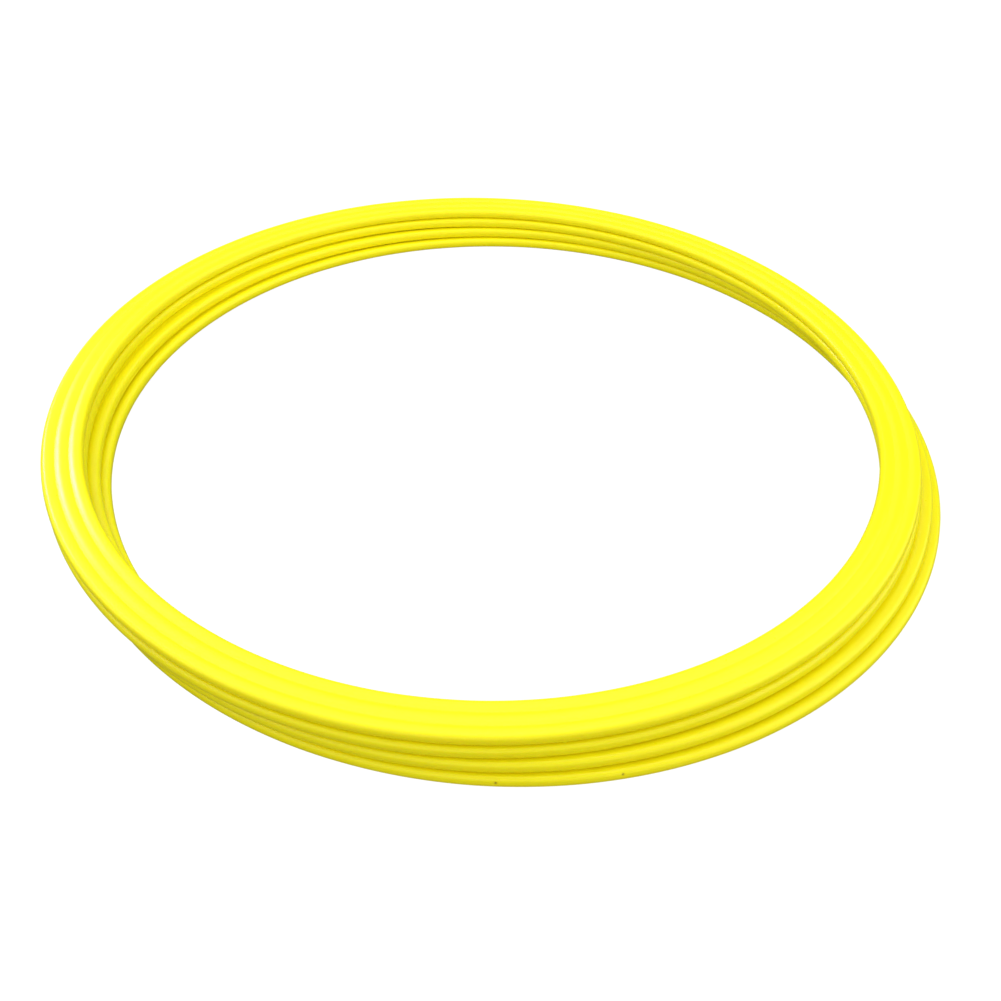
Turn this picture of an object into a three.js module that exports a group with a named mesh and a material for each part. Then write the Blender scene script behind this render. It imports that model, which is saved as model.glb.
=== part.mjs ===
// A fanned stack of four identical juggling rings, each one flat plastic moulding.
// Millimetres, +Z up. The origin is on the table, under the middle of the stack's bounding box.

import * as THREE from 'three';

// One ring: a flat band, fully rounded at both rims
const OUTER_RADIUS = 160;
const BAND_WIDTH = 14.4;
const THICKNESS = 4.0;

// Both faces of the band are moulded as concentric ribs, each topped by a narrow flat land
const RIB_COUNT = 3;
const GROOVE_DEPTH = 0.4;
const LAND_WIDTH = 0.9;

// The stack: each ring's centre in plan, from the bottom ring to the top one
const STACK_CENTRES = [[4.4, -2.3], [0.9, -0.6], [-3.6, 1.0], [-4.4, 2.3]];
const STACK_CLEARANCE = 0.1;

// Facets: round the ring, and over the half circle of each rim
const RING_SEGMENTS = 72;
const RIM_SEGMENTS = 4;

const yellowPlastic = () => new THREE.MeshStandardMaterial({
  color: 0xf7e81c,
  roughness: 0.32,
  metalness: 0,
});

// The upper face as (radius, height) points, from the outer rim inwards.
// The outermost and innermost lands end where the rims' half circles begin.
function upperFace() {
  const crestHeight = THICKNESS / 2;
  const ribPitch = BAND_WIDTH / RIB_COUNT;
  const points = [];
  for (let rib = 0; rib < RIB_COUNT; rib += 1) {
    const crestRadius = OUTER_RADIUS - ribPitch * (rib + 0.5);
    points.push([crestRadius + LAND_WIDTH / 2, crestHeight]);
    points.push([crestRadius - LAND_WIDTH / 2, crestHeight]);
    if (rib < RIB_COUNT - 1) {
      points.push([crestRadius - ribPitch / 2, crestHeight - GROOVE_DEPTH]);
    }
  }
  return points;
}

// The points within a rim's half circle, which turns anticlockwise from startAngle about centreRadius.
function rim(centreRadius, startAngle) {
  const points = [];
  for (let step = 1; step < RIM_SEGMENTS; step += 1) {
    const angle = startAngle + (Math.PI * step) / RIM_SEGMENTS;
    const rimRadius = THICKNESS / 2;
    points.push([centreRadius + rimRadius * Math.cos(angle), rimRadius * Math.sin(angle)]);
  }
  return points;
}

// The band's whole cross-section, anticlockwise and closed. The lower face mirrors the upper one.
function section() {
  const upper = upperFace();
  const lower = upper.map(([radius, height]) => [radius, -height]).reverse();
  const innerRadius = OUTER_RADIUS - BAND_WIDTH;
  const outline = [
    ...rim(OUTER_RADIUS - THICKNESS / 2, -Math.PI / 2),
    ...upper,
    ...rim(innerRadius + THICKNESS / 2, Math.PI / 2),
    ...lower,
  ];
  outline.push(outline[0]);
  return outline.map(([radius, height]) => new THREE.Vector2(radius, height));
}

// One ring, lying flat at its level of the stack (level 0 is on the table).
function ring(level) {
  const geometry = new THREE.LatheGeometry(section(), RING_SEGMENTS);
  geometry.rotateX(Math.PI / 2);
  const mesh = new THREE.Mesh(geometry, yellowPlastic());
  mesh.name = `ring_${level + 1}`;
  const [x, y] = STACK_CENTRES[level];
  mesh.position.set(x, y, THICKNESS / 2 + level * (THICKNESS + STACK_CLEARANCE));
  return mesh;
}

const stack = new THREE.Group();
STACK_CENTRES.forEach((centre, level) => stack.add(ring(level)));

export default stack;
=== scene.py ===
"""A fanned stack of four yellow moulded juggling rings on a white studio floor.

Metres, +Z up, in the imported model's frame. Each ring takes its place and size from its CAD node. This
script gives it a smooth ribbed section, moulding marks, a few knocks and a semi-gloss plastic.
"""

import math
from collections import namedtuple

import bpy
import numpy as np
from mathutils import Matrix, Vector


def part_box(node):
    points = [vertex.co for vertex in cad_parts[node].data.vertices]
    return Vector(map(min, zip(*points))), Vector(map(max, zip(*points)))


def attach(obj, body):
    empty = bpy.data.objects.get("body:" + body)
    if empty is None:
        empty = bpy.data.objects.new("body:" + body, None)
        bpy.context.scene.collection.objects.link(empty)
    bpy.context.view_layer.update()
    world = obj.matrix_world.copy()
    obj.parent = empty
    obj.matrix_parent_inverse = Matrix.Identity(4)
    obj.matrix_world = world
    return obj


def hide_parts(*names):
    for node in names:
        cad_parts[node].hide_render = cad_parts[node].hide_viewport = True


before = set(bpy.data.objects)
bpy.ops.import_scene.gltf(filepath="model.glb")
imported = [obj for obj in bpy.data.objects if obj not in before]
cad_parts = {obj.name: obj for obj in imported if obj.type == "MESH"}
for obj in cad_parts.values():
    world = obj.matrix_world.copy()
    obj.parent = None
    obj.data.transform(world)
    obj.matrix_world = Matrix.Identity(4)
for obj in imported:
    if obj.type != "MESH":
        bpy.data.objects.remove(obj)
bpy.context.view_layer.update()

MM = 0.001

# The rings, from the bottom of the stack to the top, and the CAD body that each rides on
BODY_OF = {
    "ring_1": "bottom_ring",
    "ring_2": "second_ring",
    "ring_3": "third_ring",
    "ring_4": "top_ring",
}

# The ribbed faces: each rib is a low arc, and they meet in fine grooves
RIB_COUNT = 3
GROOVE_DEPTH = 0.4 * MM

# The rounded rims are a little squarer than a half circle, whose power would be 2
RIM_POWER = 2.6

# The mould's parting line, a fine raised seam round the middle of both rims
SEAM_HEIGHT = 0.06 * MM
SEAM_HALF_WIDTH = 0.22 * MM

# Slow unevenness of the moulding: its height on the surface, how many waves of each length go round a
# ring, and the most that a wave leans, in radians for each mm across the band
WARP_HEIGHT = 0.025 * MM
WARP_WAVES = (9, 14, 23, 37)
WARP_LEAN = 0.25

# The band along both rims that is scuffed, and where a golden shade is also painted, measured inwards from
# the rim
RIM_WEAR_AND_SHADE_WIDTH = 1.8 * MM

# Mesh fineness: steps round the ring, over a rim's half circle and over the face between the rims.
# Each mark has extra steps round the ring, over a few of its own radii.
RING_STEPS = 360
RIM_STEPS = 24
FACE_STEPS = 52
MARK_STEPS = 9
MARK_REACH = 2.5

# Small marks. Degrees count from +X and the rest is mm: depth is inwards from the outer rim, rise is from
# the ring's underside, size is the mark's own radius, and lift is how far it stands out. Dents carry painted
# shade, a dark colour in each dent. The raised marks are gate stubs on the inner rims, and burrs and a low
# swelling on the outer.
Mark = namedtuple("Mark", "ring degrees depth rise size lift")
MARKS = (
    Mark("ring_1", 270, 0.1, 2.4, 0.40, -0.30),
    Mark("ring_1", 283, 0.3, 3.0, 0.35, -0.25),
    Mark("ring_3", 186, 13.9, 0.8, 0.40, -0.30),
    Mark("ring_2", 320, 0.5, 0.7, 0.45, 0.35),
    Mark("ring_4", 280, 0.4, 0.9, 0.50, 0.30),
    Mark("ring_3", 270, 0.4, 3.2, 1.20, 0.10),
    Mark("ring_4", 53, 14.3, 2.4, 0.55, 0.35),
    Mark("ring_3", 33, 14.1, 3.1, 0.50, 0.30),
    Mark("ring_2", 180, 14.3, 2.3, 0.50, 0.30),
)


# The rings


def ring_size(node):
    """Centre, outer radius, inner radius and thickness of a ring, from its CAD node."""
    low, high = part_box(node)
    centre = (low + high) / 2
    corners = np.array([v.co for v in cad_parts[node].data.vertices])
    radii = np.hypot(corners[:, 0] - centre.x, corners[:, 1] - centre.y)
    return centre, float(radii.max()), float(radii.min()), high.z - low.z


def rim_arc(start_angle, thickness):
    """A rim's rounded edge as offsets from its centre, with the parting seam at its middle."""
    turn = np.linspace(0, math.pi, RIM_STEPS, endpoint=False)
    angle = start_angle + turn
    powers = np.abs(np.cos(angle)) ** RIM_POWER + np.abs(np.sin(angle)) ** RIM_POWER
    from_middle = np.abs(turn - math.pi / 2) * thickness / 2
    seam = SEAM_HEIGHT * np.clip(1 - from_middle / SEAM_HALF_WIDTH, 0, 1)
    radius = thickness / 2 * powers ** (-1 / RIM_POWER) + seam
    return np.stack([radius * np.cos(angle), radius * np.sin(angle)], 1)


def face_height(radius, outer, inner, thickness):
    """Height of the ribbed upper face above the band's middle plane."""
    across = (outer - radius) * RIB_COUNT / (outer - inner)
    beyond_crests = (across < 0.5) | (across > RIB_COUNT - 0.5)
    from_crest = 2 * np.abs(across % 1 - 0.5)
    return thickness / 2 - np.where(beyond_crests, 0, from_crest ** 2 * GROOVE_DEPTH)


def section(outer, inner, thickness):
    """The ring's closed section as (radius, height) points, anticlockwise from the outer rim's foot."""
    rim = thickness / 2
    inwards = np.linspace(outer - rim, inner + rim, FACE_STEPS, endpoint=False)
    outwards = np.linspace(inner + rim, outer - rim, FACE_STEPS, endpoint=False)
    upper = np.stack([inwards, face_height(inwards, outer, inner, thickness)], 1)
    lower = np.stack([outwards, -face_height(outwards, outer, inner, thickness)], 1)
    outer_rim = rim_arc(-math.pi / 2, thickness) + (outer - rim, 0)
    inner_rim = rim_arc(math.pi / 2, thickness) + (inner + rim, 0)
    return np.concatenate([outer_rim, upper, inner_rim, lower])


def outward(points):
    """Unit normals of a closed anticlockwise outline."""
    along = np.roll(points, -1, axis=0) - np.roll(points, 1, axis=0)
    normal = np.stack([along[:, 1], -along[:, 0]], 1)
    return normal / np.linalg.norm(normal, axis=1)[:, None]


def ring_angles(marks, radius):
    """Angles of the mesh's steps round the ring, closer together across each mark."""
    angles = list(np.linspace(0, 2 * math.pi, RING_STEPS, endpoint=False))
    for mark in marks:
        reach = MARK_REACH * mark.size * MM / radius
        near = math.radians(mark.degrees) + np.linspace(-reach, reach, MARK_STEPS)
        angles = [a for a in angles if not near[0] <= a <= near[-1]] + list(near)
    return np.sort(np.array(angles))


def unevenness(angle, points, random):
    """A slow wave over the surface, a few centimetres long round the ring."""
    height = np.zeros((len(angle), len(points)))
    for waves in WARP_WAVES:
        phase = random.uniform(0, 2 * math.pi)
        lean = random.uniform(-WARP_LEAN, WARP_LEAN)
        across = lean * points[:, 0] / MM
        height += np.sin(waves * angle[:, None] + across[None, :] + phase) / len(WARP_WAVES)
    return height * WARP_HEIGHT


def nearness(mark, angle, points, outer, thickness):
    """How near each point of a ring is to a mark: 1 at its middle, fading to 0 around it."""
    middle = np.array([outer - mark.depth * MM, mark.rise * MM - thickness / 2])
    middle = points[np.argmin(np.linalg.norm(points - middle, axis=1))]
    across = np.linalg.norm(points - middle, axis=1)[None, :]
    round_ring = ((angle - math.radians(mark.degrees)) * outer)[:, None]
    return np.exp(-(across ** 2 + round_ring ** 2) / (mark.size * MM) ** 2)


def lathe(name, angle, radius, level):
    """A smooth closed mesh from rows of points, one row at each angle round +Z."""
    corners = np.stack(
        [radius * np.cos(angle)[:, None], radius * np.sin(angle)[:, None], level], -1
    ).reshape(-1, 3)
    here = np.arange(radius.size).reshape(radius.shape)
    next_row = np.roll(here, -1, axis=0)
    quads = np.stack(
        [here, next_row, np.roll(next_row, -1, axis=1), np.roll(here, -1, axis=1)], -1
    ).reshape(-1, 4)
    mesh = bpy.data.meshes.new(name)
    mesh.from_pydata(corners.tolist(), [], quads.tolist())
    mesh.polygons.foreach_set("use_smooth", np.ones(len(mesh.polygons), bool))
    return mesh


def build_ring(node, number):
    """One ring in its CAD node's place, with its marks. Its points know how much painted shade their dents
    carry, and how scuffed and painted with shade their rims are.
    """
    centre, outer, inner, thickness = ring_size(node)
    points = section(outer, inner, thickness)
    normals = outward(points)
    marks = [mark for mark in MARKS if mark.ring == node]
    angle = ring_angles(marks, outer)
    height = unevenness(angle, points, np.random.default_rng(number))
    # Painted shade: a mask that darkens each dent
    painted_dent_shade = np.zeros_like(height)
    for mark in marks:
        near = nearness(mark, angle, points, outer, thickness)
        height += mark.lift * MM * near
        if mark.lift < 0:
            painted_dent_shade = np.maximum(painted_dent_shade, near)
    # The band along both rims, for its scuff roughness and for a golden tint that is partly painted shade
    from_rim = np.minimum(outer - points[:, 0], points[:, 0] - inner)
    wear_and_shade = np.broadcast_to(np.clip(1 - from_rim / RIM_WEAR_AND_SHADE_WIDTH, 0, 1), height.shape)
    radius = points[None, :, 0] + height * normals[None, :, 0]
    level = points[None, :, 1] + height * normals[None, :, 1]
    name = f"{node}_moulding"
    mesh = lathe(name, angle, radius, level)
    mesh.attributes.new("painted_dent_shade", "FLOAT", "POINT").data.foreach_set("value", painted_dent_shade.ravel())
    mesh.attributes.new("wear_and_shade", "FLOAT", "POINT").data.foreach_set("value", wear_and_shade.ravel())
    piece = bpy.data.objects.new(name, mesh)
    bpy.context.scene.collection.objects.link(piece)
    piece.location = centre
    piece["mould_number"] = float(number)
    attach(piece, BODY_OF[node])
    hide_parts(node)
    return piece


# Shader nodes


def node_tree(owner):
    """The emptied node tree of a material or a world."""
    owner.use_nodes = True
    owner.node_tree.nodes.clear()
    return owner.node_tree


def fill_socket(tree, socket, value):
    """Links an output to an input socket, or sets the socket to a plain value."""
    if isinstance(value, bpy.types.NodeSocket):
        tree.links.new(value, socket)
    else:
        socket.default_value = value


def add(tree, kind, settings=None, **inputs):
    """A shader node with its settings and inputs. An input's name has _ for a space; i6 is the seventh."""
    made = tree.nodes.new(kind)
    for key, value in (settings or {}).items():
        setattr(made, key, value)
    for key, value in inputs.items():
        numbered = key[0] == "i" and key[1:].isdigit()
        socket = made.inputs[int(key[1:])] if numbered else made.inputs[key.replace("_", " ")]
        fill_socket(tree, socket, value)
    return made


def maths(tree, operation, *values):
    made = tree.nodes.new("ShaderNodeMath")
    made.operation = operation
    for socket, value in zip(made.inputs, values):
        fill_socket(tree, socket, value)
    return made.outputs[0]


def mix(tree, amount, first, second):
    """The first colour, turning into the second as the amount goes from 0 to 1."""
    settings = {"data_type": "RGBA"}
    return add(tree, "ShaderNodeMix", settings, Factor=amount, i6=first, i7=second).outputs[2]


def attribute(tree, name, kind="GEOMETRY"):
    settings = {"attribute_type": kind, "attribute_name": name}
    return add(tree, "ShaderNodeAttribute", settings).outputs["Fac"]


# The plastic

# Two close yellows that drift into each other, painted shade in the dents, and paler plastic where it is
# scuffed, which also paints a golden shade on the rims
LEMON = (0.97, 0.86, 0.003, 1)
DEEP_LEMON = (0.95, 0.82, 0.002, 1)
# Painted shade: the dark colour put into the dents
DENT_SHADE = (0.16, 0.11, 0.02, 1)
# Partly scuff wear and partly painted shade: the rims' paler golden colour
WORN_AND_SHADED = (0.90, 0.79, 0.02, 1)
DENT_SHADE_COVER = 0.85
WEAR_AND_SHADE_COVER = 0.5

# Sizes of the patterns, in mm
TONE_SIZE = 22
WAVE_SIZE = 9
SPECKLE_SIZE = 2.5
SCRATCH_SIZE = 0.8
GRAIN_SIZE = 0.5

# Where the scratch pattern starts to show, and where it is at its strongest
SCRATCH_RANGE = (0.5, 0.7)

# Roughness of the clean plastic, and what speckles and scuffs add to it
SMOOTH = 0.24
SPECKLE_ROUGHNESS = 0.12
SCUFF_ROUGHNESS = 0.3

# How high the waves and the grain stand, and how far light spreads under the surface
WAVE_HEIGHT = 0.2 * MM
WAVE_STRENGTH = 0.35
GRAIN_HEIGHT = 0.03 * MM
GRAIN_STRENGTH = 0.12
GLOW_DEPTH = 2.5 * MM
GLOW_REACH = (1.0, 0.8, 0.1)


def yellow_plastic():
    """Semi-gloss, slightly translucent yellow, with its own pattern on each ring."""
    material = bpy.data.materials.new("yellow_plastic")
    tree = node_tree(material)
    place = add(tree, "ShaderNodeTexCoord").outputs["Object"]
    mm_place = add(tree, "ShaderNodeVectorMath", {"operation": "SCALE"}, Vector=place, Scale=1 / MM)
    seed = attribute(tree, "mould_number", "OBJECT")

    def noise(size, detail, roughness=0.5):
        return add(
            tree, "ShaderNodeTexNoise", {"noise_dimensions": "4D"},
            Vector=mm_place.outputs[0], W=seed, Scale=1 / size, Detail=detail, Roughness=roughness,
        ).outputs["Fac"]

    clean = mix(tree, noise(TONE_SIZE, 3), LEMON, DEEP_LEMON)
    # Painted shade: the dents are darkened with a dark colour
    dent_shade_amount = maths(tree, "MULTIPLY", attribute(tree, "painted_dent_shade"), DENT_SHADE_COVER)
    dent_shaded = mix(tree, dent_shade_amount, clean, DENT_SHADE)
    scratches = add(
        tree, "ShaderNodeMapRange",
        Value=noise(SCRATCH_SIZE, 5, 0.7), From_Min=SCRATCH_RANGE[0], From_Max=SCRATCH_RANGE[1],
    ).outputs[0]
    wear_and_shade = maths(tree, "MULTIPLY", scratches, attribute(tree, "wear_and_shade"))
    # Along the rims, a paler golden tint that is partly wear and partly painted shade
    worn_and_shaded = mix(tree, maths(tree, "MULTIPLY", wear_and_shade, WEAR_AND_SHADE_COVER), dent_shaded, WORN_AND_SHADED)
    speckled = maths(tree, "MULTIPLY_ADD", noise(SPECKLE_SIZE, 3, 0.6), SPECKLE_ROUGHNESS, SMOOTH)
    rough = maths(tree, "MULTIPLY_ADD", wear_and_shade, SCUFF_ROUGHNESS, speckled)
    waves = add(
        tree, "ShaderNodeBump",
        Strength=WAVE_STRENGTH, Distance=WAVE_HEIGHT, Height=noise(WAVE_SIZE, 1),
    )
    skin = add(
        tree, "ShaderNodeBump",
        Strength=GRAIN_STRENGTH, Distance=GRAIN_HEIGHT, Height=noise(GRAIN_SIZE, 4),
        Normal=waves.outputs[0],
    )
    surface = add(
        tree, "ShaderNodeBsdfPrincipled",
        Base_Color=worn_and_shaded, Roughness=rough, IOR=1.5, Specular_IOR_Level=0.35, Normal=skin.outputs[0],
        Subsurface_Weight=0.5, Subsurface_Radius=GLOW_REACH, Subsurface_Scale=GLOW_DEPTH,
    )
    add(tree, "ShaderNodeOutputMaterial", Surface=surface.outputs[0])
    return material


# The studio

FLOOR_SIZE = 8.0
FLOOR_SHADE = 0.12

# How bright the camera sees the white floor and room, and how much of them the plastic mirrors
FLOOR_SEEN = 0.97
ROOM_SEEN = 1.0
FLOOR_MIRRORED = 0.0
ROOM_MIRRORED = 0.15

# How much they light the stack. The floor has a brighter pool of light inside the rings, which fades
# out between two distances from its centre.
ROOM_LIGHT = 0.2
FLOOR_LIGHT = 0.14
POOL_LIGHT = 0.45
POOL_CENTRE = (0.02, -0.05, 0)
POOL_RADIUS = 0.06
POOL_EDGE = 0.15

WHITE = (1, 1, 1, 1)

# Lamp colours
WARM = (1.0, 0.96, 0.92)
COOL = (0.94, 1.0, 0.96)
GOLD = (1.0, 0.88, 0.75)

# The far inner wall of the stack, which a small hidden lamp inside the rings brightens
BACK_WALL = (0, 0.15, 0.008)


def white_glow(tree, seen, given, mirrored):
    """A glow's strength: one value for the camera, one that lights the stack, one for reflections."""
    path = add(tree, "ShaderNodeLightPath")
    more_seen = maths(tree, "SUBTRACT", seen, given)
    more_mirrored = maths(tree, "SUBTRACT", mirrored, given)
    to_camera = maths(tree, "MULTIPLY", path.outputs["Is Camera Ray"], more_seen)
    to_gloss = maths(tree, "MULTIPLY", path.outputs["Is Glossy Ray"], more_mirrored)
    return maths(tree, "ADD", maths(tree, "ADD", to_camera, to_gloss), given)


def build_floor():
    """White paper that glows, so that no more than a trace of contact shadow shows on it."""
    bpy.ops.mesh.primitive_plane_add(size=FLOOR_SIZE)
    floor = bpy.context.object
    floor.name = "studio_floor"
    material = bpy.data.materials.new("studio_floor")
    tree = node_tree(material)
    place = add(tree, "ShaderNodeTexCoord").outputs["Object"]
    distance = add(
        tree, "ShaderNodeVectorMath", {"operation": "DISTANCE"}, i0=place, i1=POOL_CENTRE
    ).outputs["Value"]
    pool = add(
        tree, "ShaderNodeMapRange", {"interpolation_type": "SMOOTHSTEP"},
        Value=distance, From_Min=POOL_RADIUS, From_Max=POOL_EDGE,
        To_Min=FLOOR_LIGHT + POOL_LIGHT, To_Max=FLOOR_LIGHT,
    ).outputs[0]
    paper = add(
        tree, "ShaderNodeBsdfPrincipled",
        Base_Color=(FLOOR_SHADE, FLOOR_SHADE, FLOOR_SHADE, 1), Roughness=1.0, Specular_IOR_Level=0.0,
        Emission_Color=WHITE, Emission_Strength=white_glow(tree, FLOOR_SEEN, pool, FLOOR_MIRRORED),
    )
    add(tree, "ShaderNodeOutputMaterial", Surface=paper.outputs[0])
    floor.data.materials.append(material)


def build_room():
    room = bpy.data.worlds.new("studio_room")
    tree = node_tree(room)
    strength = white_glow(tree, ROOM_SEEN, ROOM_LIGHT, ROOM_MIRRORED)
    glow = add(tree, "ShaderNodeBackground", Color=WHITE, Strength=strength)
    add(tree, "ShaderNodeOutputWorld", Surface=glow.outputs[0])
    bpy.context.scene.world = room


def towards(bearing, elevation):
    """The unit vector at a bearing, counted from +X, and an elevation, both in degrees."""
    turn, rise = math.radians(bearing), math.radians(elevation)
    return Vector((math.cos(turn) * math.cos(rise), math.sin(turn) * math.cos(rise), math.sin(rise)))


def softbox(name, bearing, elevation, distance, width, height, watts, tint, aim=(0, 0, 0)):
    """A softbox that faces its aim. The bearing, elevation and distance are as seen from the aim."""
    light = bpy.data.lights.new(name, "AREA")
    light.shape = "RECTANGLE"
    light.size = width
    light.size_y = height
    light.energy = watts
    light.color = tint
    lamp = bpy.data.objects.new(name, light)
    bpy.context.scene.collection.objects.link(lamp)
    away = towards(bearing, elevation)
    lamp.location = Vector(aim) + away * distance
    lamp.rotation_euler = away.to_track_quat("Z", "Y").to_euler()
    return lamp


def build_lights():
    softbox("overhead", 90, 88, distance=1.1, width=1.2, height=1.2, watts=3.0, tint=COOL)
    softbox("behind", 100, 65, distance=1.2, width=1.2, height=1.2, watts=5.2, tint=COOL)
    softbox("front_left", 240, 27, distance=1.6, width=1.9, height=1.45, watts=8.0, tint=WARM)
    softbox("front_right", 300, 27, distance=1.6, width=1.9, height=1.45, watts=4.8, tint=WARM)
    softbox("low_right", 315, 10, distance=1.2, width=0.9, height=0.5, watts=1.2, tint=WARM)
    softbox("left_side", 180, 35, distance=0.8, width=0.8, height=0.8, watts=2.5, tint=COOL)
    softbox("right_side", 0, 35, distance=0.8, width=0.8, height=0.8, watts=3.0, tint=COOL)
    softbox("window", 137, 32, distance=1.7, width=0.18, height=0.18, watts=7.2, tint=COOL)
    fill = softbox(
        "inside_fill", 270, 20, distance=0.15, width=0.16, height=0.06, watts=0.03, tint=GOLD, aim=BACK_WALL
    )
    fill.visible_camera = False
    fill.visible_glossy = False


# The camera

CAMERA_AIM = Vector((0.0028, -0.0572, 0.0163))
CAMERA_DISTANCE = 0.4096
CAMERA_BEARING = 270
CAMERA_ELEVATION = 41.05
CAMERA_ROLL = 2.13
CAMERA_LENS = 43.5
CAMERA_NEAREST = 0.01


def build_camera():
    lens = bpy.data.cameras.new("camera")
    lens.lens = CAMERA_LENS
    lens.clip_start = CAMERA_NEAREST
    camera = bpy.data.objects.new("camera", lens)
    bpy.context.scene.collection.objects.link(camera)
    back = towards(CAMERA_BEARING, CAMERA_ELEVATION)
    level = back.to_track_quat("Z", "Y").to_matrix()
    roll = Matrix.Rotation(math.radians(CAMERA_ROLL), 3, "Z")
    place = Matrix.Translation(CAMERA_AIM + back * CAMERA_DISTANCE)
    camera.matrix_world = place @ (level @ roll).to_4x4()
    bpy.context.scene.camera = camera


plastic = yellow_plastic()
for number, node in enumerate(BODY_OF, start=1):
    build_ring(node, number).data.materials.append(plastic)
build_floor()
build_room()
build_lights()
build_camera()

bpy.context.scene.view_settings.view_transform = "Standard"
